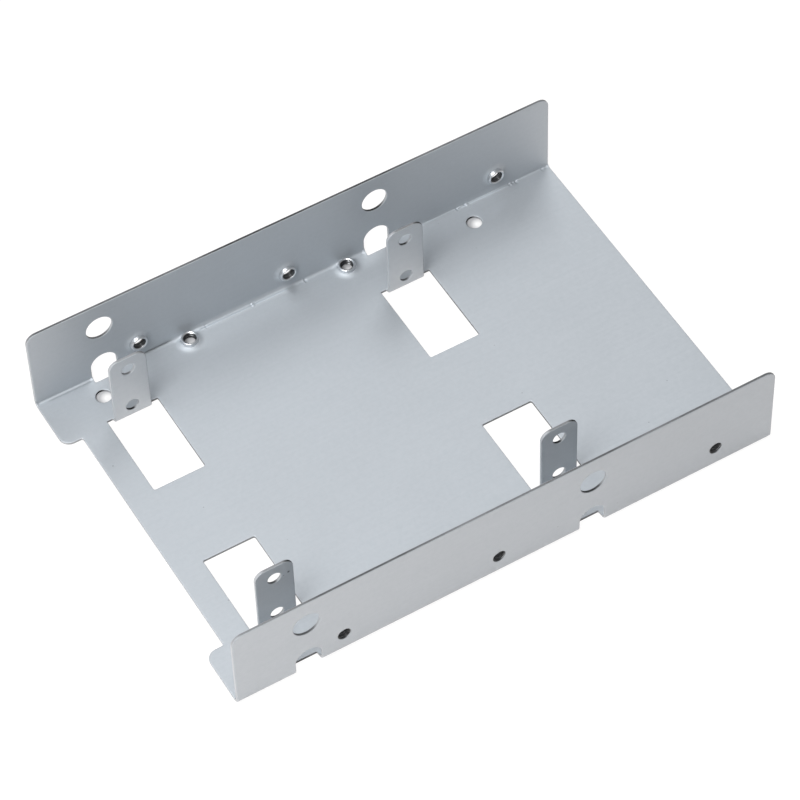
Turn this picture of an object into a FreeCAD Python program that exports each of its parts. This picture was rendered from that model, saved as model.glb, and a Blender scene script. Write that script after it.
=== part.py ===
import FreeCAD, Part
import Sketcher
import math
import os

# Drive bay adapter bracket
# One piece of thin zinc-coated steel sheet, blanked and folded: a flat floor, two side walls,
# and four tabs cut from windows in the floor. It lets two small drives sit in a bay for a larger one.
#
# Frame: millimetres, +X along the length, +Y across, +Z up. The origin is the centre of the
# floor's underside. The end with the recessed floor is at -X.
#
# The bracket is the same on both sides of its middle, so the +Y half is built and then mirrored.

# Driving dimensions: name, millimetres or degrees, what it sets
driving_sizes = (
    ("sheet_gauge", 0.8, "thickness of the sheet"),
    ("bracket_length", 146.0, "floor and walls, end to end"),
    ("bracket_width", 101.6, "over the outer faces of the walls"),
    ("wall_top", 26.1, "top of the walls above the underside"),
    ("end_bend_radius", 1.0, "inside radius of the wall fold near both ends"),
    ("middle_bend_radius", 1.8, "inside radius of the wall fold between the access slots"),
    ("wall_corner_radius", 2.8, "upper corners of the walls"),
    ("recess_depth", 5.0, "how far the floor stops short of the walls at the -X end"),
    ("recess_width", 70.2, "the short part of the floor, measured across"),
    ("recess_corner_radius", 0.5, "inner corners of the recess"),
    ("strip_end_radius", 2.8, "rounded ends of the strips beside the recess"),
    ("side_hole_start", 28.5, "first tapped wall hole from the -X end"),
    ("side_hole_near_step", 41.6, "first to second tapped wall hole"),
    ("side_hole_end_margin", 15.9, "last tapped wall hole from the +X end, 101.6 from the first"),
    ("side_hole_rise", 6.9, "tapped wall holes above the underside"),
    ("bottom_hole_start", 41.28, "first tapped floor hole from the -X end"),
    ("bottom_hole_step", 44.45, "between the two tapped floor holes of a side"),
    ("bottom_hole_inset", 3.175, "tapped floor holes from the walls' outer faces, 95.25 across"),
    ("thread_bore", 2.85, "bore of the tapped holes"),
    ("thread_mouth", 3.5, "both ends of the tapped bores, where they are eased"),
    ("mouth_angle", 90.0, "included angle of the eased ends"),
    ("collar_base", 4.8, "drawn collar round a tapped hole, at the sheet"),
    ("collar_rise", 1.35, "height of the drawn collars above the sheet"),
    ("collar_taper", 5.0, "slope of the side of the collars, in degrees"),
    ("drive_hole_start", 19.05, "first tab and its access holes from the -X end"),
    ("drive_hole_step", 76.6, "first to second tab, the side holes of the small drive"),
    ("drive_row_low", 4.3, "screws of the lower drive above the underside"),
    ("drive_row_high", 18.0, "screws of the upper drive above the underside"),
    ("drive_gap", 70.3, "between the inner faces of the tabs, where the drives slide in"),
    ("drive_screw_hole", 3.5, "clearance holes in the tabs"),
    ("tab_width", 10.0, "width of a tab"),
    ("tab_top", 22.9, "top of the tabs above the underside"),
    ("tab_bend_radius", 0.5, "inside radius of the tab fold"),
    ("tab_corner_radius", 2.6, "upper corners of the tabs"),
    ("window_width", 13.9, "window that a tab is cut from, along the length"),
    ("window_corner_radius", 0.5, "corners of the windows at the middle of the floor"),
    ("centre_web", 24.2, "floor left between the windows, across"),
    ("access_hole", 7.5, "round hole for a screwdriver, in line with the upper drive"),
    ("access_slot", 7.1, "arched slot for a screwdriver, in line with the lower drive"),
    ("slot_corner_radius", 0.3, "corners of the slot in the floor, short of the fold"),
    ("plain_hole", 4.05, "plain floor holes"),
    ("plain_hole_start", 15.3, "first plain floor hole from the -X end"),
    ("plain_hole_step", 105.0, "first to second plain floor hole"),
    ("plain_hole_inset", 7.1, "plain floor holes from the walls' outer faces, 87.4 across"),
)

doc = FreeCAD.newDocument("drive_bay_adapter_bracket")
sheet = doc.addObject("Spreadsheet::Sheet", "sizes")
for row, (alias, value, note) in enumerate(driving_sizes, start=1):
    sheet.set("A%d" % row, alias)
    sheet.set("B%d" % row, str(value))
    sheet.set("C%d" % row, note)
    sheet.setAlias("B%d" % row, alias)

# Places worked out from the driving dimensions, each by an expression of its own
worked_out_sizes = (
    ("minus_x_end", "=-bracket_length / 2", "the -X end of the walls"),
    ("plus_x_end", "=bracket_length / 2", "the +X end"),
    ("outer_face", "=bracket_width / 2", "outer face of the +Y wall"),
    ("inner_face", "=outer_face - sheet_gauge", "inner face of the +Y wall"),
    ("station", "=minus_x_end + drive_hole_start", "middle of the first tab, window and slot"),
    ("next_station", "=station + drive_hole_step", "the same for the second"),
    ("recess_end", "=minus_x_end + recess_depth", "edge of the floor in the recess"),
    ("recess_side", "=recess_width / 2", "side of the recess"),
    ("tab_face", "=drive_gap / 2", "inner face of the +Y tabs"),
    ("tab_back", "=tab_face + sheet_gauge", "outer face of the +Y tabs"),
    ("tab_root", "=tab_back + tab_bend_radius", "fold line of the tabs and end of the windows"),
    ("window_start", "=station - window_width / 2", "side of the first window"),
    ("window_end", "=station + window_width / 2", "its other side"),
    ("web_side", "=centre_web / 2", "end of the windows at the middle of the floor"),
    ("slot_start", "=station - access_slot / 2", "side of the first slot"),
    ("slot_end", "=station + access_slot / 2", "its other side"),
    ("slot_reach", "=inner_face - middle_bend_radius - slot_corner_radius", "end of the slots in the floor"),
    ("below_sheet", "=-sheet_gauge", "how far down the slots are cut, clear of the underside"),
    ("bottom_hole_line", "=outer_face - bottom_hole_inset", "row of the tapped floor holes"),
    ("plain_hole_line", "=outer_face - plain_hole_inset", "row of the plain floor holes"),
    ("side_hole_first", "=minus_x_end + side_hole_start", "first tapped wall hole"),
    ("side_hole_second", "=side_hole_first + side_hole_near_step", "second tapped wall hole"),
    ("side_hole_last", "=plus_x_end - side_hole_end_margin", "last tapped wall hole"),
    ("bottom_hole_first", "=minus_x_end + bottom_hole_start", "first tapped floor hole"),
    ("bottom_hole_second", "=bottom_hole_first + bottom_hole_step", "second tapped floor hole"),
    ("plain_hole_first", "=minus_x_end + plain_hole_start", "first plain floor hole"),
    ("plain_hole_second", "=plain_hole_first + plain_hole_step", "second plain floor hole"),
)
for row, (alias, formula, note) in enumerate(worked_out_sizes, start=len(driving_sizes) + 2):
    sheet.set("A%d" % row, alias)
    sheet.set("B%d" % row, formula)
    sheet.set("C%d" % row, note)
    sheet.setAlias("B%d" % row, alias)
doc.recompute()

body = doc.addObject("PartDesign::Body", "bracket")
body.Label = "bracket"
origin_features = {feature.Role: feature for feature in body.Origin.OriginFeatures}

# Spans of the arcs, counter-clockwise from the +X side of their centre
bottom_to_right = (-math.pi / 2, 0.0)
left_to_bottom = (math.pi, 3 * math.pi / 2)
right_to_left = (0.0, math.pi)


def size(name):
    # Present value of one cell of the sheet
    return float(sheet.get(name))


def bind(thing, prop, expression):
    # Ties a property, or a named constraint, to the sheet
    thing.setExpression(prop, expression)


def new_sketch(name, plane, offset=None):
    # A sketch on one of the body's own planes, or parallel to it at a bound offset
    sketch = body.newObject("Sketcher::SketchObject", name)
    sketch.AttachmentSupport = (origin_features[plane], [""])
    sketch.MapMode = "FlatFace"
    if offset:
        bind(sketch, "AttachmentOffset.Base.z", offset)
    doc.recompute()
    return sketch


def constrain(sketch, kind, *where):
    return sketch.addConstraint(Sketcher.Constraint(kind, *where))


def dimension(sketch, name, kind, where, alias):
    # A dimension whose value is one cell of the sheet
    index = constrain(sketch, kind, *where, size(alias))
    sketch.renameConstraint(index, name)
    bind(sketch, "Constraints." + name, "sizes." + alias)


def circle(sketch, name, x, y, diameter):
    # A circle whose centre and diameter are cells of the sheet
    centre = FreeCAD.Vector(size(x), size(y), 0)
    index = sketch.addGeometry(Part.Circle(centre, FreeCAD.Vector(0, 0, 1), size(diameter) / 2), False)
    dimension(sketch, name + "_x", "DistanceX", (-1, 1, index, 3), x)
    dimension(sketch, name + "_y", "DistanceY", (-1, 1, index, 3), y)
    dimension(sketch, name + "_size", "Diameter", (index,), diameter)


def rectangle(sketch, left, right, low, high):
    # Four lines at cells of the sheet, or on the sketch's own axis where no cell is given
    vector = FreeCAD.Vector
    x0, x1, y0, y1 = [size(alias) if alias else 0.0 for alias in (left, right, low, high)]
    corners = [vector(x0, y0, 0), vector(x1, y0, 0), vector(x1, y1, 0), vector(x0, y1, 0)]
    for side in range(4):
        sketch.addGeometry(Part.LineSegment(corners[side], corners[(side + 1) % 4]), False)
    for side in range(4):
        constrain(sketch, "Coincident", side, 2, (side + 1) % 4, 1)
        constrain(sketch, "Vertical" if side % 2 else "Horizontal", side)
    dimension(sketch, "left", "DistanceX", (-1, 1, 3, 1), left)
    dimension(sketch, "right", "DistanceX", (-1, 1, 1, 1), right)
    dimension(sketch, "high", "DistanceY", (-1, 1, 2, 1), high)
    if low:
        dimension(sketch, "low", "DistanceY", (-1, 1, 0, 1), low)
    else:
        constrain(sketch, "PointOnObject", 0, 1, -1)


def finished(feature, cuts):
    # Recomputes and stops if the feature failed, or added or removed nothing
    doc.recompute()
    before = feature.BaseFeature.Shape.Volume if feature.BaseFeature else 0.0
    change = feature.Shape.Volume - before
    if not feature.isValid() or change * (-1 if cuts else 1) <= 0:
        raise RuntimeError("%s did not change the sheet as meant" % feature.Name)
    return feature


def pad(name, sketch, length):
    feature = body.newObject("PartDesign::Pad", name)
    feature.Profile = sketch
    bind(feature, "Length", length)
    return feature


def pocket(name, sketch):
    # Cuts through everything on the far side of the sketch from its normal
    feature = body.newObject("PartDesign::Pocket", name)
    feature.Profile = sketch
    feature.Type = "ThroughAll"
    return feature


def fillet(name, places, radius):
    # Rounds the edges whose middles lie at the given places
    base = body.Tip
    chosen = []
    for number, edge in enumerate(base.Shape.Edges, start=1):
        middle = edge.CenterOfMass
        if any(middle.distanceToPoint(FreeCAD.Vector(*place)) < 0.001 for place in places):
            chosen.append("Edge%d" % number)
    if len(chosen) != len(places):
        raise RuntimeError("%s found %d edges of %d" % (name, len(chosen), len(places)))
    feature = body.newObject("PartDesign::Fillet", name)
    feature.Base = (base, chosen)
    bind(feature, "Radius", radius)
    doc.recompute()
    if not feature.isValid():
        raise RuntimeError("%s could not be rounded" % name)
    return feature


# Folded section
# Half of the folded sheet seen from the end: half the floor, the fold and the wall.
def folded_section(name, bend_radius, start, length):
    sketch = new_sketch(name + "_section", "YZ_Plane", start)
    gauge = size("sheet_gauge")
    face = size("outer_face")
    top = size("wall_top")
    inside = size(bend_radius)
    outside = inside + gauge
    centre = FreeCAD.Vector(face - outside, outside, 0)
    up = FreeCAD.Vector(0, 0, 1)
    vector = FreeCAD.Vector
    underside, outer_fold, outer_wall, rim, inner_wall, inner_fold, floor, middle = range(8)
    sketch.addGeometry(Part.LineSegment(vector(0, 0, 0), vector(centre.x, 0, 0)), False)
    sketch.addGeometry(Part.ArcOfCircle(Part.Circle(centre, up, outside), *bottom_to_right), False)
    sketch.addGeometry(Part.LineSegment(vector(face, centre.y, 0), vector(face, top, 0)), False)
    sketch.addGeometry(Part.LineSegment(vector(face, top, 0), vector(face - gauge, top, 0)), False)
    inner = face - gauge
    sketch.addGeometry(Part.LineSegment(vector(inner, top, 0), vector(inner, centre.y, 0)), False)
    sketch.addGeometry(Part.ArcOfCircle(Part.Circle(centre, up, inside), *bottom_to_right), False)
    sketch.addGeometry(Part.LineSegment(vector(centre.x, gauge, 0), vector(0, gauge, 0)), False)
    sketch.addGeometry(Part.LineSegment(vector(0, gauge, 0), vector(0, 0, 0)), False)
    constrain(sketch, "Coincident", underside, 1, -1, 1)
    constrain(sketch, "Tangent", underside, 2, outer_fold, 1)
    constrain(sketch, "Tangent", outer_fold, 2, outer_wall, 1)
    constrain(sketch, "Coincident", outer_wall, 2, rim, 1)
    constrain(sketch, "Coincident", rim, 2, inner_wall, 1)
    constrain(sketch, "Tangent", inner_wall, 2, inner_fold, 2)
    constrain(sketch, "Tangent", inner_fold, 1, floor, 1)
    constrain(sketch, "Coincident", floor, 2, middle, 1)
    constrain(sketch, "Coincident", middle, 2, underside, 1)
    constrain(sketch, "Coincident", outer_fold, 3, inner_fold, 3)
    constrain(sketch, "Horizontal", underside)
    constrain(sketch, "Vertical", outer_wall)
    constrain(sketch, "Horizontal", rim)
    constrain(sketch, "Vertical", inner_wall)
    constrain(sketch, "Horizontal", floor)
    constrain(sketch, "Vertical", middle)
    dimension(sketch, "gauge", "DistanceY", (-1, 1, middle, 1), "sheet_gauge")
    dimension(sketch, "half_width", "DistanceX", (-1, 1, outer_wall, 2), "outer_face")
    dimension(sketch, "top", "DistanceY", (-1, 1, outer_wall, 2), "wall_top")
    dimension(sketch, "bend", "Radius", (inner_fold,), bend_radius)
    return finished(pad(name, sketch, length), cuts=False)


folded_section("recessed_end", "end_bend_radius", "sizes.minus_x_end", "sizes.drive_hole_start")
folded_section("middle", "middle_bend_radius", "sizes.station", "sizes.drive_hole_step")
folded_section(
    "plain_end",
    "end_bend_radius",
    "sizes.next_station",
    "sizes.plus_x_end - sizes.next_station",
)


# Recess
# Between the walls the floor stops short at the -X end, beside two strips with rounded ends.
recess = new_sketch("recess_outline", "XY_Plane", "sizes.sheet_gauge")
rectangle(recess, "minus_x_end", "recess_end", None, "recess_side")
finished(pocket("recess", recess), cuts=True)


# Window
# The tabs are cut from the floor on three sides, and the window is wider than the tab.
window_outline = new_sketch("window_outline", "XY_Plane", "sizes.sheet_gauge")
rectangle(window_outline, "window_start", "window_end", "web_side", "tab_root")
window = finished(pocket("window", window_outline), cuts=True)


# Tab
# Folded up from the outer end of its window, so its fold is rounded towards the window.
def tab_section():
    sketch = new_sketch("tab_section", "YZ_Plane", "sizes.station")
    vector = FreeCAD.Vector
    up = vector(0, 0, 1)
    face, back, root = size("tab_face"), size("tab_back"), size("tab_root")
    top, gauge, inside = size("tab_top"), size("sheet_gauge"), size("tab_bend_radius")
    centre = vector(root, gauge + inside, 0)
    fold_end, face_line, rim, back_line, fold_back, root_line = range(6)
    sketch.addGeometry(Part.ArcOfCircle(Part.Circle(centre, up, gauge + inside), *left_to_bottom), False)
    sketch.addGeometry(Part.LineSegment(vector(face, centre.y, 0), vector(face, top, 0)), False)
    sketch.addGeometry(Part.LineSegment(vector(face, top, 0), vector(back, top, 0)), False)
    sketch.addGeometry(Part.LineSegment(vector(back, top, 0), vector(back, centre.y, 0)), False)
    sketch.addGeometry(Part.ArcOfCircle(Part.Circle(centre, up, inside), *left_to_bottom), False)
    sketch.addGeometry(Part.LineSegment(vector(root, gauge, 0), vector(root, 0, 0)), False)
    constrain(sketch, "Tangent", fold_end, 1, face_line, 1)
    constrain(sketch, "Coincident", face_line, 2, rim, 1)
    constrain(sketch, "Coincident", rim, 2, back_line, 1)
    constrain(sketch, "Tangent", back_line, 2, fold_back, 1)
    constrain(sketch, "Coincident", fold_back, 2, root_line, 1)
    constrain(sketch, "Coincident", root_line, 2, fold_end, 2)
    constrain(sketch, "Coincident", fold_end, 3, fold_back, 3)
    constrain(sketch, "PointOnObject", root_line, 2, -1)
    constrain(sketch, "Vertical", fold_back, 3, root_line, 1)
    constrain(sketch, "Vertical", face_line)
    constrain(sketch, "Horizontal", rim)
    constrain(sketch, "Vertical", back_line)
    constrain(sketch, "Vertical", root_line)
    dimension(sketch, "face", "DistanceX", (-1, 1, face_line, 2), "tab_face")
    dimension(sketch, "back", "DistanceX", (-1, 1, back_line, 1), "tab_back")
    dimension(sketch, "top", "DistanceY", (-1, 1, face_line, 2), "tab_top")
    dimension(sketch, "bend", "Radius", (fold_back,), "tab_bend_radius")
    return sketch


tab = pad("tab", tab_section(), "sizes.tab_width")
tab.SideType = "Symmetric"
finished(tab, cuts=False)


# Screw holes of the small drives
# Two heights in each tab. The sketch lies behind the tab and cuts towards the middle.
drive_hole_centres = new_sketch("drive_hole_centres", "XZ_Plane", "-sizes.tab_root")
circle(drive_hole_centres, "lower", "station", "drive_row_low", "drive_screw_hole")
circle(drive_hole_centres, "upper", "station", "drive_row_high", "drive_screw_hole")
drive_holes = pocket("drive_holes", drive_hole_centres)
drive_holes.Reversed = True
finished(drive_holes, cuts=True)


# Access for a screwdriver
# A round hole in the wall for the upper screw, and for the lower one an arched slot that runs
# down through the fold and ends in the floor just inside the fold line.
def access_outlines():
    sketch = new_sketch("access_outlines", "XZ_Plane", "-sizes.slot_reach")
    circle(sketch, "upper", "station", "drive_row_high", "access_hole")
    vector = FreeCAD.Vector
    start, end = size("slot_start"), size("slot_end")
    spring, low = size("drive_row_low"), size("below_sheet")
    arch_circle = Part.Circle(vector(size("station"), spring, 0), vector(0, 0, 1), (end - start) / 2)
    arch, start_side, sill, end_side = range(1, 5)
    sketch.addGeometry(Part.ArcOfCircle(arch_circle, *right_to_left), False)
    sketch.addGeometry(Part.LineSegment(vector(start, spring, 0), vector(start, low, 0)), False)
    sketch.addGeometry(Part.LineSegment(vector(start, low, 0), vector(end, low, 0)), False)
    sketch.addGeometry(Part.LineSegment(vector(end, low, 0), vector(end, spring, 0)), False)
    constrain(sketch, "Tangent", arch, 2, start_side, 1)
    constrain(sketch, "Coincident", start_side, 2, sill, 1)
    constrain(sketch, "Coincident", sill, 2, end_side, 1)
    constrain(sketch, "Tangent", end_side, 2, arch, 1)
    constrain(sketch, "Horizontal", sill)
    constrain(sketch, "Vertical", start_side)
    constrain(sketch, "Vertical", end_side)
    dimension(sketch, "start", "DistanceX", (-1, 1, start_side, 2), "slot_start")
    dimension(sketch, "end", "DistanceX", (-1, 1, end_side, 1), "slot_end")
    dimension(sketch, "low", "DistanceY", (-1, 1, sill, 1), "below_sheet")
    dimension(sketch, "spring", "DistanceY", (-1, 1, arch, 3), "drive_row_low")
    return sketch


access = finished(pocket("access", access_outlines()), cuts=True)


# Second station
# The second window, tab, screw holes and access holes stand one drive hole step further along.
stations = body.newObject("PartDesign::LinearPattern", "stations")
stations.Originals = [window, tab, drive_holes, access]
stations.Direction = (origin_features["X_Axis"], [""])
stations.Occurrences = 2
bind(stations, "Length", "sizes.drive_hole_step")
body.Tip = stations
doc.recompute()
if not stations.isValid():
    raise RuntimeError("the second station failed")


# Tapped holes
# Each bore is drawn out of the sheet into a low collar on the inside, and its two ends are eased.
def tapped_holes(name, plane, sheet_face, collar_face, outside, centres):
    collar_circles = new_sketch(name + "_collar_circles", plane, sheet_face)
    bore_centres = new_sketch(name + "_bore_centres", plane, collar_face)
    entry_centres = new_sketch(name + "_entry_centres", plane, outside)
    for number, (x, y) in enumerate(centres, start=1):
        hole = "hole%d" % number
        circle(collar_circles, hole, x, y, "collar_base")
        circle(bore_centres, hole, x, y, "thread_bore")
        circle(entry_centres, hole, x, y, "thread_bore")
    collars = pad(name + "_collars", collar_circles, "sizes.collar_rise")
    bind(collars, "TaperAngle", "-sizes.collar_taper")
    finished(collars, cuts=False)
    for sketch, depth, towards_inside in (
        (bore_centres, "sizes.collar_rise + sizes.sheet_gauge", False),
        (entry_centres, "sizes.sheet_gauge", True),
    ):
        bore = body.newObject("PartDesign::Hole", sketch.Name.replace("centres", "holes"))
        bore.Profile = sketch
        bore.Reversed = towards_inside
        bore.DepthType = "Dimension"
        bore.DrillPoint = "Flat"
        bore.HoleCutType = "Countersink"
        bore.HoleCutCustomValues = True
        bind(bore, "Depth", depth)
        bind(bore, "Diameter", "sizes.thread_bore")
        bind(bore, "HoleCutDiameter", "sizes.thread_mouth")
        bind(bore, "HoleCutCountersinkAngle", "sizes.mouth_angle")
        finished(bore, cuts=True)


tapped_holes(
    "wall",
    "XZ_Plane",
    "-sizes.inner_face",
    "-(sizes.inner_face - sizes.collar_rise)",
    "-sizes.outer_face",
    [(x, "side_hole_rise") for x in ("side_hole_first", "side_hole_second", "side_hole_last")],
)
tapped_holes(
    "floor",
    "XY_Plane",
    "sizes.sheet_gauge",
    "sizes.sheet_gauge + sizes.collar_rise",
    None,
    [(x, "bottom_hole_line") for x in ("bottom_hole_first", "bottom_hole_second")],
)


# Plain floor holes
plain_centres = new_sketch("plain_centres", "XY_Plane", "sizes.sheet_gauge")
circle(plain_centres, "first", "plain_hole_first", "plain_hole_line", "plain_hole")
circle(plain_centres, "second", "plain_hole_second", "plain_hole_line", "plain_hole")
finished(pocket("plain_holes", plain_centres), cuts=True)


# Rounded corners
half_gauge = size("sheet_gauge") / 2
wall_middle = size("inner_face") + half_gauge
tab_middle = size("tab_face") + half_gauge
drive_step = size("drive_hole_step")
fillet(
    "wall_corners",
    [(x, wall_middle, size("wall_top")) for x in (size("minus_x_end"), size("plus_x_end"))],
    "sizes.wall_corner_radius",
)
fillet(
    "tab_corners",
    [
        (size("station") + side * size("tab_width") / 2 + step, tab_middle, size("tab_top"))
        for side in (-1, 1)
        for step in (0, drive_step)
    ],
    "sizes.tab_corner_radius",
)
fillet("strip_ends", [(size("minus_x_end"), size("recess_side"), half_gauge)], "sizes.strip_end_radius")
fillet(
    "recess_corners",
    [(size("recess_end"), size("recess_side"), half_gauge)],
    "sizes.recess_corner_radius",
)
fillet(
    "window_corners",
    [
        (side + step, size("web_side"), half_gauge)
        for side in (size("window_start"), size("window_end"))
        for step in (0, drive_step)
    ],
    "sizes.window_corner_radius",
)
fillet(
    "slot_corners",
    [
        (side + step, size("slot_reach"), half_gauge)
        for side in (size("slot_start"), size("slot_end"))
        for step in (0, drive_step)
    ],
    "sizes.slot_corner_radius",
)


# The other half
both_sides = body.newObject("PartDesign::Mirrored", "both_sides")
both_sides.TransformMode = "Whole shape"
both_sides.MirrorPlane = (origin_features["XZ_Plane"], [""])
body.Tip = both_sides
doc.recompute()


# Check and write
# Every object of the document has to be sound before the one sub-part is written.
for thing in doc.Objects:
    if "Invalid" in thing.State or "Error" in thing.State:
        raise RuntimeError("%s failed: %s" % (thing.Name, thing.State))
solid = body.Shape
if solid.isNull() or not solid.isValid() or len(solid.Solids) != 1:
    raise RuntimeError("the folded sheet is not one sound solid")
os.makedirs("parts", exist_ok=True)
solid.exportStep("parts/%s.step" % body.Label)
print("%s: %.1f mm3 in %d faces" % (body.Label, solid.Volume, len(solid.Faces)))
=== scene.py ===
import math

import bpy
import numpy as np
from mathutils import Matrix, Vector
from mathutils.geometry import delaunay_2d_cdt
from mathutils.kdtree import KDTree


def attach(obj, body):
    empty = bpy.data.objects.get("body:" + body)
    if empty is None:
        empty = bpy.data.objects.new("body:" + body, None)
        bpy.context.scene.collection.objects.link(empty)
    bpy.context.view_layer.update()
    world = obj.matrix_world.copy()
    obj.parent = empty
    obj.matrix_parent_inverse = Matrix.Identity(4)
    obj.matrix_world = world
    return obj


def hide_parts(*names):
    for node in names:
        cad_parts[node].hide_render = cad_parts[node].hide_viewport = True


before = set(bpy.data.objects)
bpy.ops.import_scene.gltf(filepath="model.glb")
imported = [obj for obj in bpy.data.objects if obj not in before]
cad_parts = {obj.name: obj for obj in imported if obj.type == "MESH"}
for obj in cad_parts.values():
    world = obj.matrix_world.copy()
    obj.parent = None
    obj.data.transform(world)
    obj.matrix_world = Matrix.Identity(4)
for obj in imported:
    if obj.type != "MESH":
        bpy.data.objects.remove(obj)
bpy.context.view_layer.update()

mm = 0.001
# Lengths are in millimetres, as on the bracket's drawing, where no other unit is given.


# Camera, floor and light
cameraPlace = {
    "location": (-268.21065, -490.59341, 734.88943),
    "right": (0.8613138, -0.5074829, -0.0244899),
    "up": (0.4152950, 0.6754442, 0.6093482),
    "back": (-0.2926922, -0.5350105, 0.7925245),
    "lens": 172.39216,
    "sensor": 36.0,
}


def placeCamera():
    lens = bpy.data.cameras.new("bracketCamera")
    lens.sensor_width = cameraPlace["sensor"]
    lens.lens = cameraPlace["lens"]
    lens.clip_start, lens.clip_end = 0.01, 20.0
    camera = bpy.data.objects.new("bracketCamera", lens)
    axes = [Vector(cameraPlace[name]).normalized() for name in ("right", "up", "back")]
    turn = Matrix(axes).transposed().to_4x4()
    camera.matrix_world = Matrix.Translation(Vector(cameraPlace["location"]) * mm) @ turn
    bpy.context.scene.collection.objects.link(camera)
    bpy.context.scene.camera = camera


studio = {
    "floorSize": 4.0,  # metres
    "floorGap": 0.02,  # how far the floor lies under the bracket
    "floorColour": (0.90, 0.86, 0.832, 1.0),
    "floorGlowSeen": 0.86,
    "floorGlow": 1.05,
    # under the small holes the floor is in shade: middle of the lightest place, its glow, how
    # far out it begins to darken and is darkest, and where the shade ends
    "shadedSpots": (
        ((-56.9, 43.2), 0.86, 0.7, 2.05, 3.2), ((48.1, 43.2), 0.86, 0.5, 1.95, 3.2),
        ((-31.3, 47.1), 0.42, 0.2, 1.5, 2.4), ((13.15, 47.1), 0.42, 0.2, 1.5, 2.4),
    ),
    "shadedColour": (0.36, 0.365, 0.375, 1.0),
    "shadedGlow": 0.03,
    "skyColour": (1.0, 0.975, 0.99, 1.0),
    "skyStrength": 0.36,
    # soft boxes: middle and side in metres, and brightness next to the sky's white
    "boxes": (
        ("keyBox", (-0.362, -0.209, 0.498), 0.28, 12.0),
        ("topBox", (-0.291, -0.051, 0.634), 0.40, 6.4),
        ("backBox", (0.295, 0.352, 0.460), 0.28, 4.45),
    ),
}


def addNode(tree, kind, **settings):
    node = tree.nodes.new(kind)
    for name, value in settings.items():
        if name == "inputs":
            for socket, given in value.items():
                node.inputs[socket].default_value = given
        else:
            setattr(node, name, value)
    return node


def linked(tree, kind, *sources, **settings):
    # A node whose first inputs are fed, in order, by sockets or numbers
    node = addNode(tree, kind, **settings)
    for place, source in enumerate(sources):
        if source is None:
            continue
        if isinstance(source, bpy.types.NodeSocket):
            tree.links.new(source, node.inputs[place])
        else:
            node.inputs[place].default_value = source
    return node


def maths(tree, operation, *sources):
    return linked(tree, "ShaderNodeMath", *sources, operation=operation).outputs[0]


def floorShade(tree):
    # The floor's glow and the share of its own colour, both less under the small holes
    place = addNode(tree, "ShaderNodeTexCoord").outputs["Object"]
    x, y, _ = linked(tree, "ShaderNodeSeparateXYZ", place).outputs
    spot = linked(tree, "ShaderNodeCombineXYZ", x, maths(tree, "ABSOLUTE", y)).outputs[0]
    glow, clear = studio["floorGlowSeen"], 1.0
    for (middleX, middleY), brightest, near, far, reach in studio["shadedSpots"]:
        away = linked(tree, "ShaderNodeVectorMath", spot, (middleX * mm, middleY * mm, 0.0),
                      operation="DISTANCE").outputs["Value"]
        shade = linked(tree, "ShaderNodeMapRange", away, near * mm, far * mm,
                       brightest, studio["shadedGlow"]).outputs[0]
        beyond = maths(tree, "GREATER_THAN", away, reach * mm)
        glow = linked(tree, "ShaderNodeMix", beyond, None, shade, glow,
                      data_type="FLOAT").outputs[0]
        clear = maths(tree, "MULTIPLY", beyond, clear)
    # seen from below, the floor is plain
    below = addNode(tree, "ShaderNodeNewGeometry").outputs["Backfacing"]
    clear = maths(tree, "MAXIMUM", clear, below)
    glow = maths(tree, "MAXIMUM", glow, maths(tree, "MULTIPLY", below, studio["floorGlowSeen"]))
    return glow, clear


def makeFloor():
    half = studio["floorSize"] / 2
    z = -studio["floorGap"] * mm
    mesh = bpy.data.meshes.new("studioFloor")
    corners = [(-half, -half, z), (half, -half, z), (half, half, z), (-half, half, z)]
    mesh.from_pydata(corners, [], [(0, 1, 2, 3)])
    floor = bpy.data.objects.new("studioFloor", mesh)
    bpy.context.scene.collection.objects.link(floor)
    material = bpy.data.materials.new("studioFloor")
    material.use_nodes = True
    tree = material.node_tree
    tree.nodes.clear()
    glowSeen, clear = floorShade(tree)
    colour = linked(tree, "ShaderNodeMix", clear, data_type="RGBA")
    colour.inputs[6].default_value = studio["shadedColour"]
    colour.inputs[7].default_value = studio["floorColour"]
    paint = linked(tree, "ShaderNodeBsdfDiffuse", colour.outputs[2])
    glow = addNode(tree, "ShaderNodeEmission", inputs={"Strength": studio["floorGlow"]})
    # only the camera sees the glow, so it lights nothing
    seen = addNode(tree, "ShaderNodeLightPath").outputs["Is Camera Ray"]
    share = maths(tree, "MULTIPLY", seen, glowSeen)
    mixed = linked(tree, "ShaderNodeMixShader", share, paint.outputs[0], glow.outputs[0])
    linked(tree, "ShaderNodeOutputMaterial", mixed.outputs[0])
    mesh.materials.append(material)


def makeSky():
    world = bpy.data.worlds.new("studioSky")
    bpy.context.scene.world = world
    world.use_nodes = True
    tree = world.node_tree
    tree.nodes.clear()
    soft = addNode(tree, "ShaderNodeBackground",
                   inputs={"Color": studio["skyColour"], "Strength": studio["skyStrength"]})
    out = addNode(tree, "ShaderNodeOutputWorld")
    tree.links.new(soft.outputs[0], out.inputs["Surface"])


def hangSoftBoxes():
    for name, place, side, brightness in studio["boxes"]:
        lamp = bpy.data.lights.new(name, "AREA")
        lamp.shape = "SQUARE"
        lamp.size = side
        lamp.energy = brightness * math.pi * side * side
        holder = bpy.data.objects.new(name, lamp)
        holder.location = place
        holder.rotation_euler = (-Vector(place)).to_track_quat("-Z", "Y").to_euler()
        holder.visible_camera = False
        bpy.context.scene.collection.objects.link(holder)


placeCamera()
makeFloor()
makeSky()
hangSoftBoxes()
bpy.context.scene.view_settings.view_transform = "Standard"
print("camera, floor and light are in place")


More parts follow.
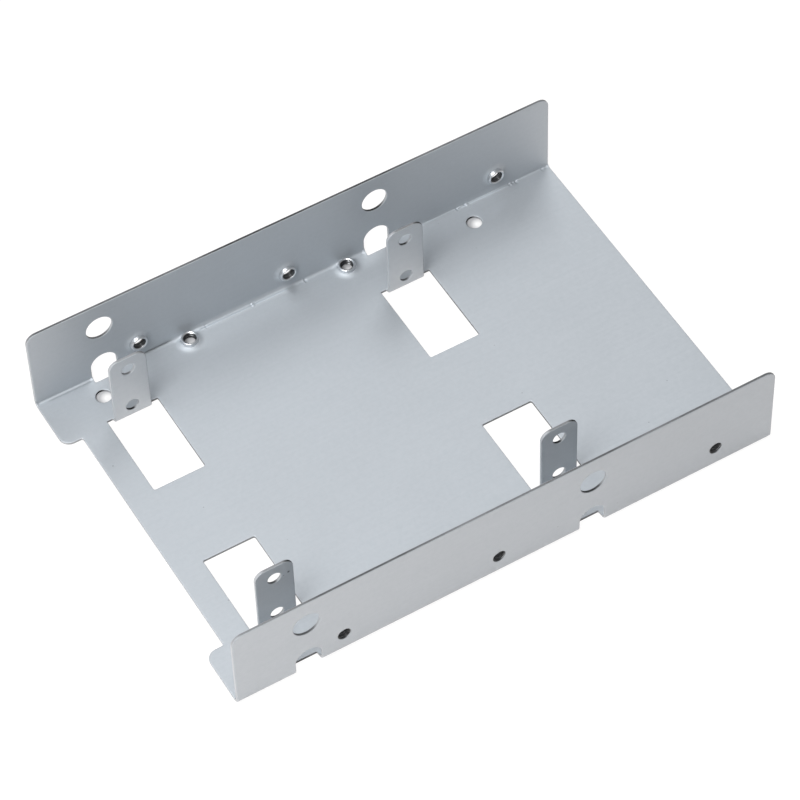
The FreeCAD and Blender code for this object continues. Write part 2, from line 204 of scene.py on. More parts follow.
# Shape of the folded sheet
# The sheet is laid out flat first: x runs along the bracket and v across it, up the walls.
sheetSizes = {
    "gauge": 0.8,
    "length": 146.0,
    "width": 101.6,
    "wallTop": 26.1,
    "wallCorner": 2.8,
    "endBend": 1.0,
    "middleBend": 1.8,
    "bendChange": 1.5,
    "recessDepth": 5.0,
    "recessWidth": 70.2,
    "recessCorner": 0.5,
    "stripCorner": 2.8,
    "stations": (-53.95, 22.65),
    "windowWidth": 13.9,
    "windowCorner": 0.5,
    "windowShift": (0.25, 0.3),
    "centreWeb": 24.2,
    "reliefCorner": 0.25,
    "tabWidth": 10.0,
    "tabRoot": 36.45,
    "tabBend": 0.5,
    "tabTop": 22.3,
    "tabCorner": 2.6,
    "driveRows": (4.3, 18.0),
    "driveHole": 3.5,
    "accessHole": 7.05,
    "accessSlot": 7.0,
    "slotReach": 47.9,
    "slotFoot": (47.9, 48.4),
    "slotCorner": 0.3,
    "plainHole": 3.95,
    "plainHoles": (-57.7, 47.3),
    "plainRow": 43.7,
    "tappedHole": 3.44,
    "wallTapped": (-44.5, -2.9, 57.1),
    "wallTappedRise": 6.9,
    "floorTapped": (-31.72, 12.73),
    "floorTappedRow": 47.625,
}

# The fold's share of the flat blank, from slotReach, and the wall height where it ends
foldBlank = 4.5
foldTop = 3.2

# Cut edge from the upper face round to the lower one: distance in from the cut, height over
# the middle of the sheet, and how much of a cut edge it is
edgeProfile = (
    (0.45, 0.400, 0.0),
    (0.24, 0.394, 0.0),
    (0.13, 0.375, 0.0),
    (0.06, 0.335, 0.05),
    (0.02, 0.275, 0.35),
    (0.000, 0.190, 1.0),
    (0.000, -0.200, 1.0),
    (0.020, -0.290, 0.35),
    (0.070, -0.355, 0.05),
    (0.160, -0.393, 0.0),
    (0.45, -0.400, 0.0),
)

halfGauge = sheetSizes["gauge"] / 2
tabMiddleRadius = sheetSizes["tabBend"] + halfGauge
tabArc = tabMiddleRadius * math.pi / 2
tabRise = halfGauge + tabMiddleRadius
tabTipClear = 0.6  # how far past its tip a place on the blank still counts as the tab
wallInner = sheetSizes["width"] / 2 - sheetSizes["gauge"]
wallBlankTop = sheetSizes["slotReach"] + foldBlank + sheetSizes["wallTop"] - foldTop


def wallBlank(z):
    # Place on the blank of a height on the walls
    return sheetSizes["slotReach"] + foldBlank + z - foldTop


def tabBlank(z):
    # Place on the blank of a height on the tabs
    return sheetSizes["tabRoot"] - tabArc - (z - tabRise)


# Small unevenness of the upper face
toolMarks = {
    # nicks across the fold where the bending tool's pieces meet: place along it and depth
    "nicks": (
        (-34.5, 0.07), (-26.6, -0.10), (-13.4, 0.15), (1.6, -0.15), (9.2, -0.08), (31.2, 0.17),
        (45.5, -0.15), (48.4, 0.17), (61.4, 0.15), (62.9, -0.15), (70.7, -0.08),
    ),
    "nickWidth": 0.34,
    "nickHeight": 2.3,
    "nickLean": 0.35,  # makes one lip higher than the other
    "nickSpan": (49.1, 50.2),
    "nickSoft": 0.5,
    # sharp creases and ridges along the fold: start, end, place across the blank and height
    "creases": (
        (-43.4, -36.2, 50.2, -0.22), (-69.5, -57.8, 49.3, -0.07),
        (-28.0, -3.6, 49.4, 0.12), (29.8, 35.5, 49.5, 0.15), (46.5, 60.5, 49.5, 0.12),
    ),
    "creaseWidth": 0.27,
    "creaseSoft": 1.2,
    # painted shade in the creases and painted highlight on the ridges, for each unit of height
    "creasePaintedLight": 4.6,
    # strips where the floor already curls up before the fold: start, end and where it begins
    "curls": ((-29.5, -2.4, 41.0), (29.8, 62.0, 45.9)),
    "curlSlope": 0.17,
    "curlEnd": 49.2,
    "curlFade": 2.6,
    "curlSoft": 1.6,
}

# the sheet swells where a collar was drawn out of it
collarSwell = {"reach": 4.0, "foot": 2.15, "height": 0.72, "power": 2.3}

# inside corner of the fold, pressed sharper than the outside one: at the ends and in the middle
pressedBend = {"ends": 0.4, "middle": 0.9, "sharpness": 3.5}


def smoothStep(value, low, high):
    share = np.clip((value - low) / (high - low), 0, 1)
    return share * share * (3 - 2 * share)


def between(value, low, high, soft):
    # 1 from low to high and 0 elsewhere, with soft ends
    rising = smoothStep(value, low - soft, low + soft)
    return rising * (1 - smoothStep(value, high - soft, high + soft))


def tappedCentres():
    # Middles of the tapped holes on the blank
    s = sheetSizes
    centres = []
    for side in (-1, 1):
        centres += [(x, side * wallBlank(s["wallTappedRise"])) for x in s["wallTapped"]]
        centres += [(x, side * s["floorTappedRow"]) for x in s["floorTapped"]]
    return centres


def creaseLift(x, across):
    lift = np.zeros_like(x)
    for start, end, row, depth in toolMarks["creases"]:
        groove = np.exp(-(((across - row) / toolMarks["creaseWidth"]) ** 2))
        lift += depth * groove * between(x, start, end, toolMarks["creaseSoft"])
    return lift


def faceLift(x, v):
    # How far the upper face stands off its true place
    lift = np.zeros_like(x)
    across = np.abs(v)
    t = toolMarks
    for place, depth in t["nicks"]:
        u = (x - place) / t["nickWidth"]
        bend = t["nickHeight"] * depth * (u + t["nickLean"]) * np.exp(-u * u)
        lift += bend * between(across, *t["nickSpan"], t["nickSoft"])
    lift += creaseLift(x, across)
    high = t["curlEnd"]
    for start, end, low in t["curls"]:
        rise = np.clip((across - low) / (high - low), 0, 1) ** 2 * t["curlSlope"] * (high - low) / 2
        fade = 1 - smoothStep(across, high, high + t["curlFade"])
        lift += rise * fade * between(x, start, end, t["curlSoft"])
    c = collarSwell
    for centreX, centreV in tappedCentres():
        away = np.hypot(x - centreX, v - centreV)
        rise = np.clip((c["reach"] - away) / (c["reach"] - c["foot"]), 0, 1)
        lift += c["height"] * rise ** c["power"]
    middle, flat, whole = foldRun(x)
    run = (across - sheetSizes["slotReach"]) * whole / foldBlank
    turn = np.clip((run - flat) / middle, 0, math.pi / 2)
    radius = bendRadius(x)
    wide = (radius - sheetSizes["endBend"]) / (sheetSizes["middleBend"] - sheetSizes["endBend"])
    pressed = pressedBend["ends"] + (pressedBend["middle"] - pressedBend["ends"]) * wide
    corner = np.sin(turn * 2) ** pressedBend["sharpness"]
    lift -= (radius - pressed) * (math.sqrt(2) - 1) * corner
    return lift


def bendRadius(x):
    # Inside radius of the wall fold, wider between the two slots
    first, second = sheetSizes["stations"]
    change = sheetSizes["bendChange"]
    share = np.clip((x - first) / change, 0, 1) * np.clip((second - x) / change, 0, 1)
    return sheetSizes["endBend"] + (sheetSizes["middleBend"] - sheetSizes["endBend"]) * share


def foldRun(x):
    # Radius at the middle of the sheet, flat run before the arc, and whole path of the fold
    inside = bendRadius(x)
    middle = inside + halfGauge
    flat = wallInner - inside - sheetSizes["slotReach"]
    whole = flat + middle * math.pi / 2 + foldTop - sheetSizes["gauge"] - inside
    return middle, flat, whole


def onTab(x, v):
    s = sheetSizes
    near = np.min([np.abs(x - station) for station in s["stations"]], axis=0)
    reach = (s["windowWidth"] + s["tabWidth"]) / 4
    across = np.abs(v)
    tip = tabBlank(s["tabTop"]) - tabTipClear
    return (near < reach) & (across < s["tabRoot"]) & (across > tip)


def folded(x, v):
    # Folds flat places up: middle of the sheet, and the direction its upper face looks in
    x, v = np.asarray(x, float), np.asarray(v, float)
    side, across = np.where(v < 0, -1.0, 1.0), np.abs(v)
    middle, flat, whole = foldRun(x)
    run = across - sheetSizes["slotReach"]
    past = np.where(run < foldBlank, run * whole / foldBlank, whole + run - foldBlank)
    run = np.where(run > 0, past, run)
    turn = np.clip((run - flat) / middle, 0, math.pi / 2)
    beyond = np.maximum(run - flat - middle * math.pi / 2, 0)
    y = sheetSizes["slotReach"] + np.minimum(run, flat) + middle * np.sin(turn)
    z = halfGauge + middle * (1 - np.cos(turn)) + beyond
    tilt = -np.sin(turn)
    tab = onTab(x, v)
    run = sheetSizes["tabRoot"] - across
    tabTurn = np.clip(run / tabMiddleRadius, 0, math.pi / 2)
    y = np.where(tab, sheetSizes["tabRoot"] - tabMiddleRadius * np.sin(tabTurn), y)
    tabZ = halfGauge + tabMiddleRadius * (1 - np.cos(tabTurn)) + np.maximum(run - tabArc, 0)
    z = np.where(tab, tabZ, z)
    turn = np.where(tab, tabTurn, turn)
    tilt = np.where(tab, np.sin(tabTurn), tilt)
    place = np.stack([x, y * side, z], axis=-1)
    facing = np.stack([np.zeros_like(x), tilt * side, np.cos(turn)], axis=-1)
    return place, facing


def blankAcross(x, y, height):
    # Place across the blank of a point on the floor or low in the fold, for upright holes
    middle, flat, whole = foldRun(x)
    start = sheetSizes["slotReach"] + flat
    across = np.abs(y)
    turn = np.arcsin(np.clip((across - start) / (middle - height), 0, 0.999))
    run = np.where(across > start, flat + middle * turn, across - sheetSizes["slotReach"])
    return np.where(run > 0, sheetSizes["slotReach"] + run * foldBlank / whole, across) * np.sign(y)


# Outlines
# Each outline is a loop of rounded corners with the steel on its left hand.
# Distance between their points, on the flats and in the folds, and the widest turn at corners
spacing = {
    "plain": 0.62,
    "wallFold": 0.36,
    "tabFold": 0.22,
    "foldMargin": 0.4,
    "tabFoldRun": 2.0,
    "cornerTurn": math.radians(11),
    "leastSteps": 3,
}


def spacingAt(v):
    across, margin = abs(v), spacing["foldMargin"]
    if sheetSizes["slotReach"] - margin < across < wallBlank(foldTop) + margin:
        return spacing["wallFold"]
    root = sheetSizes["tabRoot"]
    if root - spacing["tabFoldRun"] < across < root + margin:
        return spacing["tabFold"]
    return spacing["plain"]


def roundedLoop(corners, hole=True):
    # Corners are (x, v, radius). Gives places and the directions into the steel.
    pairs = zip(corners, corners[1:] + corners[:1])
    area = sum(a[0] * b[1] - b[0] * a[1] for a, b in pairs)
    if (area > 0) == hole:
        corners = corners[::-1]
    places, inwards = [], []
    count = len(corners)
    arcs = []
    for number, (x, v, radius) in enumerate(corners):
        corner = Vector((x, v))
        before = (Vector(corners[number - 1][:2]) - corner).normalized()
        after = (Vector(corners[(number + 1) % count][:2]) - corner).normalized()
        half = before.angle(after) / 2
        reach = radius / math.tan(half)
        centre = corner + (before + after).normalized() * (radius / math.sin(half))
        arcs.append((corner + before * reach, corner + after * reach, centre, radius))
    for number, (start, end, centre, radius) in enumerate(arcs):
        fromCentre, toCentre = start - centre, end - centre
        sweep = math.atan2(fromCentre.cross(toCentre), fromCentre.dot(toCentre))
        byTurn = abs(sweep) / spacing["cornerTurn"]
        byLength = radius * abs(sweep) / spacing["plain"]
        steps = max(spacing["leastSteps"], math.ceil(max(byTurn, byLength)))
        for step in range(steps + 1):
            turn = sweep * step / steps
            arm = Vector((
                fromCentre.x * math.cos(turn) - fromCentre.y * math.sin(turn),
                fromCentre.x * math.sin(turn) + fromCentre.y * math.cos(turn),
            ))
            places.append(centre + arm)
            inwards.append(arm.normalized() * (-1 if sweep > 0 else 1))
        following = arcs[(number + 1) % count][0]
        along = following - end
        length = along.length
        if length < 0.001:
            places.pop()
            inwards.pop()
            continue
        along.normalize()
        leftHand = Vector((-along.y, along.x))
        marks, run = [], 0.0
        while run < length:
            here = end + along * run
            run += spacingAt(here.y)
            marks.append(run)
        stretch = length / marks[-1]
        for mark in marks[:-1]:
            places.append(end + along * mark * stretch)
            inwards.append(leftHand)
    return np.array(places), np.array(inwards)


def roundHole(x, v, diameter):
    r = diameter / 2
    corners = [(x - r, v - r, r), (x + r, v - r, r), (x + r, v + r, r), (x - r, v + r, r)]
    return roundedLoop(corners)


def sheetOutlines():
    # Every cut of the blank as (places, directions into the steel, whether it is upright)
    s = sheetSizes
    endX, recessX = s["length"] / 2, s["length"] / 2 - s["recessDepth"]
    recessY = s["recessWidth"] / 2
    outer = [
        (-endX, -wallBlankTop, s["wallCorner"]), (endX, -wallBlankTop, s["wallCorner"]),
        (endX, wallBlankTop, s["wallCorner"]), (-endX, wallBlankTop, s["wallCorner"]),
        (-endX, recessY, s["stripCorner"]), (-recessX, recessY, s["recessCorner"]),
        (-recessX, -recessY, s["recessCorner"]), (-endX, -recessY, s["stripCorner"]),
    ]
    cuts = [(*roundedLoop(outer, hole=False), False)]

    def drill(x, row, diameter, upright=False):
        cuts.append((*roundHole(x, row, diameter), upright))

    half, tabHalf, slotHalf = s["windowWidth"] / 2, s["tabWidth"] / 2, s["accessSlot"] / 2
    shift, rise = s["windowShift"]
    low, high = s["driveRows"]
    relief = s["reliefCorner"]
    for side in (-1, 1):
        web = side * s["centreWeb"] / 2 + rise
        root, tip = side * s["tabRoot"], side * tabBlank(s["tabTop"])
        foot, crown = side * s["slotFoot"][side > 0], side * (wallBlank(low) + slotHalf)
        for station in s["stations"]:
            left, right = station + shift - half, station + shift + half
            tabLeft, tabRight = station - tabHalf, station + tabHalf
            window = [
                (left, web, s["windowCorner"]), (right, web, s["windowCorner"]),
                (right, root, relief), (tabRight, root, relief),
                (tabRight, tip, s["tabCorner"]), (tabLeft, tip, s["tabCorner"]),
                (tabLeft, root, relief), (left, root, relief),
            ]
            cuts.append((*roundedLoop(window), False))
            slotLeft, slotRight = station - slotHalf, station + slotHalf
            slot = [
                (slotLeft, foot, s["slotCorner"]), (slotRight, foot, s["slotCorner"]),
                (slotRight, crown, slotHalf), (slotLeft, crown, slotHalf),
            ]
            cuts.append((*roundedLoop(slot), False))
            drill(station, side * wallBlank(high), s["accessHole"])
            for row in (low, high):
                drill(station, side * tabBlank(row), s["driveHole"])
        for x in s["plainHoles"]:
            drill(x, side * s["plainRow"], s["plainHole"])
        for x in s["wallTapped"]:
            drill(x, side * wallBlank(s["wallTappedRise"]), s["tappedHole"])
        for x in s["floorTapped"]:
            drill(x, side * s["floorTappedRow"], s["tappedHole"], upright=True)
    return cuts


def blankPlaces(cut, distance, height):
    # One ring of a cut on the blank, at a distance into the steel
    places, inwards, upright = cut
    ring = places + inwards * distance
    if upright:
        ring = np.stack([ring[:, 0], blankAcross(ring[:, 0], ring[:, 1], height)], axis=-1)
    return ring


def inside(points, loop):
    # Which points lie inside a closed loop
    x, y = points[:, 0], points[:, 1]
    found = np.zeros(len(points), bool)
    for (x0, y0), (x1, y1) in zip(loop, np.roll(loop, -1, axis=0)):
        if y0 == y1:
            continue
        crossing = (y0 > y) != (y1 > y)
        found ^= crossing & (x < x0 + (y - y0) * (x1 - x0) / (y1 - y0))
    return found


# Points between the cuts: a loose net on the flats, close rows in the folds
netSizes = {
    "flat": 2.6,
    "flatRow": 0.866,  # from row to row, as a share of flat
    "foldGap": 1.2,
    "foldAlong": 1.0,
    "foldAcross": 0.17,
    "foldMargins": (0.3, 0.5),
    "tabAlong": 0.9,
    "tabAcross": 0.24,
    "tabRows": (-1.8, 0.3),
    "tabColumns": (-4.4, 4.5),
    "rings": (2.4, 2.6, 2.85, 3.15, 3.5, 3.95, 4.5),
    "ringPoints": 30,
    "ringClear": 0.2,
    "nickColumns": (-0.75, -0.5, -0.35, -0.22, -0.1, 0.1, 0.22, 0.35, 0.5, 0.75),
    "nickMargin": 0.6,
    "clear": 0.3,
    "closest": 0.07,
    "merge": 1e-7,
}


def netRow(xs, v):
    return np.stack([xs, np.full_like(xs, v)], axis=-1)


def looseNet():
    # The net over the whole blank, before anything is taken out of it
    n = netSizes
    endX = sheetSizes["length"] / 2
    reach, top = sheetSizes["slotReach"], wallBlank(foldTop)
    before, after = n["foldMargins"]
    points = []
    for row, v in enumerate(np.arange(-wallBlankTop, wallBlankTop, n["flat"] * n["flatRow"])):
        if reach - n["foldGap"] < abs(v) < top + n["foldGap"]:
            continue
        xs = np.arange(-endX + (row % 2) * n["flat"] / 2, endX, n["flat"])
        points.append(netRow(xs, v))
    for side in (-1, 1):
        for row, v in enumerate(np.arange(reach - before, top + after, n["foldAcross"])):
            xs = np.arange(-endX + (row % 2) * n["foldAlong"] / 2, endX, n["foldAlong"])
            points.append(netRow(xs, v * side))
        first, last = (sheetSizes["tabRoot"] + step for step in n["tabRows"])
        for station in sheetSizes["stations"]:
            left, right = (station + step for step in n["tabColumns"])
            for v in np.arange(first, last, n["tabAcross"]):
                points.append(netRow(np.arange(left, right, n["tabAlong"]), v * side))
        low, high = toolMarks["nickSpan"]
        vs = np.arange(low - n["nickMargin"], high + n["nickMargin"], n["foldAcross"] / 2)
        for place, _ in toolMarks["nicks"]:
            for column in n["nickColumns"]:
                points.append(np.stack([np.full_like(vs, place + column), vs * side], axis=-1))
    return np.concatenate(points)


def ringed(points):
    # Even rings round the tapped holes take the place of the net there
    n = netSizes
    turns = np.arange(n["ringPoints"]) * 2 * math.pi / n["ringPoints"]
    for x, v in tappedCentres():
        away = np.hypot(points[:, 0] - x, points[:, 1] - v)
        points = points[away > n["rings"][-1] + n["ringClear"]]
        for number, r in enumerate(n["rings"]):
            turned = turns + (number % 2) * turns[1] / 2
            ring = np.stack([x + r * np.cos(turned), v + r * np.sin(turned)], axis=-1)
            points = np.concatenate([points, ring])
    return points


def searchTree(points):
    tree = KDTree(len(points))
    for number, (x, v) in enumerate(points):
        tree.insert((x, v, 0), number)
    tree.balance()
    return tree


def netPoints(loops):
    # The net's points on the steel, clear of every cut and of each other
    points = ringed(looseNet())
    keep = inside(points, loops[0])
    for loop in loops[1:]:
        low, high = loop.min(axis=0), loop.max(axis=0)
        close = keep & np.all((points > low) & (points < high), axis=1)
        keep[close] &= ~inside(points[close], loop)
    points = points[keep]
    border = searchTree(np.concatenate(loops))
    clear = [border.find((x, v, 0))[2] > netSizes["clear"] for x, v in points]
    points = points[np.array(clear)]
    tree = searchTree(points)
    dropped = set()
    for number, (x, v) in enumerate(points):
        if number in dropped:
            continue
        for _, other, _ in tree.find_range((x, v, 0), netSizes["closest"]):
            if other > number:
                dropped.add(other)
    return points[[number not in dropped for number in range(len(points))]]


def triangulated(loops, points):
    # Triangles of the steel between the loops, and where each loop's points went
    verts = [Vector(p) for loop in loops for p in loop] + [Vector(p) for p in points]
    edges, start = [], 0
    for loop in loops:
        count = len(loop)
        edges += [(start + k, start + (k + 1) % count) for k in range(count)]
        start += count
    flat, _, faces, origins, _, _ = delaunay_2d_cdt(verts, edges, [], 0, netSizes["merge"])
    newIndex = {old: new for new, olds in enumerate(origins) for old in olds}
    walls = {frozenset((newIndex[a], newIndex[b])) for a, b in edges}
    places = np.array([tuple(p) for p in flat])
    triangles = np.array(faces)
    across = {}
    for number, face in enumerate(faces):
        for k in range(3):
            across.setdefault(frozenset((face[k], face[(k + 1) % 3])), []).append(number)
    # spreads over the steel from one known place without crossing a cut
    centres = places[triangles].mean(axis=1)
    first = int(np.argmin(np.hypot(centres[:, 0], centres[:, 1])))
    steel, waiting = {first}, [first]
    while waiting:
        face = faces[waiting.pop()]
        for k in range(3):
            edge = frozenset((face[k], face[(k + 1) % 3]))
            if edge in walls:
                continue
            for other in across[edge]:
                if other not in steel:
                    steel.add(other)
                    waiting.append(other)
    triangles = triangles[sorted(steel)]
    a, b, c = (places[triangles[:, k]] for k in range(3))
    ab, ac = b - a, c - a
    turned = ab[:, 0] * ac[:, 1] - ab[:, 1] * ac[:, 0] < 0
    triangles[turned] = triangles[turned][:, ::-1]
    used = np.unique(triangles)
    renumber = np.full(len(places), -1)
    renumber[used] = np.arange(len(used))
    loopIndex, start = [], 0
    for loop in loops:
        loopIndex.append(np.array([renumber[newIndex[start + k]] for k in range(len(loop))]))
        start += len(loop)
    return places[used], renumber[triangles], loopIndex


# How dark the cut edges are: the sheared steel's own darkness, and painted shade by the way an
# edge looks. A turn is how far an edge looks along +X, from -1 to 1, where it begins to darken
# and where it is darkest.
edgeDark = {
    "outline": 0.25,
    # painted shade on the outline where it looks up
    "outlineTop": 0.75,
    # painted shade, less on the -Y wall's edges and more on the +Y wall's
    "outlineSides": (0.85, 1.05),
    "tab": 0.15,
    # painted shade on a tab's edge that looks along +X
    "tabRight": 1.1,
    "tabTurn": (-0.35, 0.6),
    "tabSpread": 0.4,
    "window": 0.85,
    "hole": 0.25,
    # painted shade on a hole's edge, all round but where it looks along -X
    "accessTurn": (-0.9, -0.4),
    "holeTurn": (-0.6, -0.1),
    "holeSpread": 0.5,
    "step": 0.02,  # out of the steel, to find which way an edge looks
}


def edgeShade(number, cut, spot, out, share):
    # How dark one ring of a cut is, how much of the painted highlight on edges that look along -X
    # it takes, and its share of cut edge. Besides the sheared steel's own darkness, painted shade
    # falls on the outline where it looks up, more at the +Y wall than at the -Y wall, on a tab at
    # its
    # +X side, and on a hole apart from the edge that looks along -X. A window is dark all round.
    e = edgeDark
    if number == 0:
        dark = e["outline"] + e["outlineTop"] * np.clip(out[:, 2], 0, 1)
        return dark * np.where(spot[:, 1] < 0, *e["outlineSides"]), 1.0, share
    wide = np.ptp(cut[0][:, 0])
    if wide > (sheetSizes["windowWidth"] + sheetSizes["accessHole"]) / 2:
        tab = onTab(*cut[0].T).astype(float)
        tabDark = e["tab"] + e["tabRight"] * smoothStep(out[:, 0], *e["tabTurn"])
        dark = np.where(tab > 0, tabDark, e["window"])
        return dark, tab, share ** (1 - e["tabSpread"] * tab)
    forAccess = wide > (sheetSizes["plainHole"] + sheetSizes["accessSlot"]) / 2
    turn = e["accessTurn"] if forAccess else e["holeTurn"]
    return e["hole"] + smoothStep(out[:, 0], *turn), 1.0, share ** e["holeSpread"]


def buildSheet():
    cuts = sheetOutlines()
    loops = [blankPlaces(cut, edgeProfile[0][0], 0.0) for cut in cuts]
    flat, triangles, loopIndex = triangulated(loops, netPoints(loops))
    middle, facing = folded(flat[:, 0], flat[:, 1])
    upper = middle + facing * (halfGauge + faceLift(flat[:, 0], flat[:, 1]))[:, None]
    lower = middle - facing * halfGauge
    count = len(flat)
    places = [upper, lower]
    faces = [triangles, triangles[:, ::-1] + count]
    quads = []
    cutShare, cutDarkAndPaintedLight, paintedLeftHighlight = ([np.zeros(count * 2)] for _ in range(3))
    # painted shade in the creases and a painted highlight on the ridges
    cutDarkAndPaintedLight[0][:count] = -creaseLift(flat[:, 0], np.abs(flat[:, 1])) * toolMarks["creasePaintedLight"]
    total = count * 2
    for number, (cut, index) in enumerate(zip(cuts, loopIndex)):
        rings = [index]
        for distance, height, share in edgeProfile[1:-1]:
            ring = blankPlaces(cut, distance, height)
            spot, up = folded(ring[:, 0], ring[:, 1])
            places.append(spot + up * height)
            beyond, _ = folded(*(ring - cut[1] * edgeDark["step"]).T)
            out = beyond - spot
            out /= np.linalg.norm(out, axis=1, keepdims=True)
            # painted shade by the way the edge looks, and a painted highlight where it looks along
            # -X
            dark, bright, share = edgeShade(number, cut, spot, out, share)
            cutDarkAndPaintedLight.append(dark * share)
            paintedLeftHighlight.append(bright * share * np.clip(-out[:, 0], 0, 1))
            cutShare.append(np.ones(len(ring)) * share)
            rings.append(np.arange(total, total + len(ring)))
            total += len(ring)
        rings.append(index + count)
        for one, two in zip(rings, rings[1:]):
            band = np.stack([one, np.roll(one, -1), np.roll(two, -1), two], axis=-1)
            quads.append(band[:, ::-1])
    places = np.concatenate(places)
    faces = [tuple(face) for face in np.concatenate(faces).tolist()]
    faces += [tuple(face) for face in np.concatenate(quads).tolist()]
    mesh = bpy.data.meshes.new("foldedSheet")
    mesh.from_pydata((places * mm).tolist(), [], faces)
    mesh.validate()
    mesh.shade_smooth()
    for name, parts in (("cutEdge", cutShare), ("cutDarkAndPaintedLight", cutDarkAndPaintedLight), ("paintedLeftHighlight", paintedLeftHighlight)):
        layer = mesh.attributes.new(name, "FLOAT", "POINT")
        layer.data.foreach_set("value", np.concatenate(parts).astype(np.float32))
    sheet = bpy.data.objects.new("foldedSheet", mesh)
    bpy.context.scene.collection.objects.link(sheet)
    return sheet


foldedSheet = buildSheet()
print("folded sheet:", len(foldedSheet.data.polygons), "faces")


# Tapped collars
# Each is drawn up out of the sheet and has a machine screw thread inside. One closed ring is
# bent from a flat net, then set at every tapped hole.
collarSizes = {
    "bore": 2.85,
    "threadDiameter": 3.505,
    "threadPitch": 0.794,
    "netAround": 56,
    "netAlong": 64,
    "seed": 4,
    "grooveSides": (0.07, 0.43),
    "radii": (1.3, 3.0),  # reach of the section's radii and heights
    "heights": (-0.6, 1.4),
    "bored": (0.49, 0.93),  # share of the section inside the bore, painted dark as shade
    "weld": 0.0001,
    # share of the way round the ring's section: (share, radius, height over the sheet's face)
    "section": (
        (0.00, 2.75, -0.15), (0.04, 2.62, 0.02), (0.08, 2.47, 0.17), (0.13, 2.37, 0.36),
        (0.22, 2.28, 0.80), (0.28, 2.22, 1.12), (0.32, 2.14, 1.27), (0.36, 2.02, 1.34),
        (0.41, 1.90, 1.35), (0.46, 1.78, 1.29), (0.51, 1.53, 1.06), (0.55, 1.425, 0.93),
        (0.84, 1.425, -0.42), (0.87, 1.46, -0.50), (0.90, 1.55, -0.55), (0.94, 1.80, -0.47),
        (1.00, 2.75, -0.15),
    ),
}


def sectionCurve(tree, share, column, low, high):
    # Reads the radius or the height of the ring's section
    node = linked(tree, "ShaderNodeFloatCurve", 1.0, share)
    curve = node.mapping.curves[0]
    for point in collarSizes["section"]:
        value = (point[column] - low) / (high - low)
        if point[0] in (0.0, 1.0):
            end = curve.points[0 if point[0] == 0.0 else -1]
            end.location = (point[0], value)
        else:
            curve.points.new(point[0], value)
    for point in curve.points:
        point.handle_type = "VECTOR"
    node.mapping.update()
    return maths(tree, "MULTIPLY_ADD", node.outputs[0], (high - low) * mm, low * mm)


def threadedRing(tree, given):
    # Bends the net round into one collar, standing on the origin
    net = linked(tree, "GeometryNodeMeshGrid", 1.0, 1.0, given["Around"], given["Along"])
    where = addNode(tree, "GeometryNodeInputPosition").outputs[0]
    where = linked(tree, "ShaderNodeSeparateXYZ", where)
    around = maths(tree, "MULTIPLY", maths(tree, "ADD", where.outputs[0], 0.5), 2 * math.pi)
    share = maths(tree, "ADD", where.outputs[1], 0.5)
    radius = sectionCurve(tree, share, 1, *collarSizes["radii"])
    height = sectionCurve(tree, share, 2, *collarSizes["heights"])
    # the groove climbs one pitch for each turn
    climb = maths(tree, "DIVIDE", height, given["Thread Pitch"])
    turns = maths(tree, "SUBTRACT", climb, maths(tree, "DIVIDE", around, 2 * math.pi))
    groove = maths(tree, "PINGPONG", turns, 0.5)
    groove = linked(tree, "ShaderNodeMapRange", groove, *collarSizes["grooveSides"], 0.0, 1.0,
                    clamp=True).outputs[0]
    bore = maths(tree, "MULTIPLY", given["Bore"], 0.5)
    deep = maths(tree, "SUBTRACT", maths(tree, "MULTIPLY", given["Thread Diameter"], 0.5), bore)
    threaded = maths(tree, "MULTIPLY_ADD", groove, deep, bore)
    radius = maths(tree, "MAXIMUM", radius, threaded)
    bent = linked(tree, "ShaderNodeCombineXYZ",
                  maths(tree, "MULTIPLY", radius, maths(tree, "COSINE", around)),
                  maths(tree, "MULTIPLY", radius, maths(tree, "SINE", around)), height)
    # marks the bore, which the finish paints dark as shade
    start, end = collarSizes["bored"]
    bored = maths(tree, "MULTIPLY", maths(tree, "GREATER_THAN", share, start),
                  maths(tree, "LESS_THAN", share, end))
    marked = linked(tree, "GeometryNodeStoreNamedAttribute", net.outputs["Mesh"], True, "bored",
                    data_type="FLOAT", domain="POINT")
    tree.links.new(bored, marked.inputs["Value"])
    ring = linked(tree, "GeometryNodeSetPosition", marked.outputs[0], True, bent.outputs[0])
    return linked(tree, "GeometryNodeMergeByDistance", ring.outputs[0], True,
                  inputs={"Distance": collarSizes["weld"] * mm}).outputs[0]


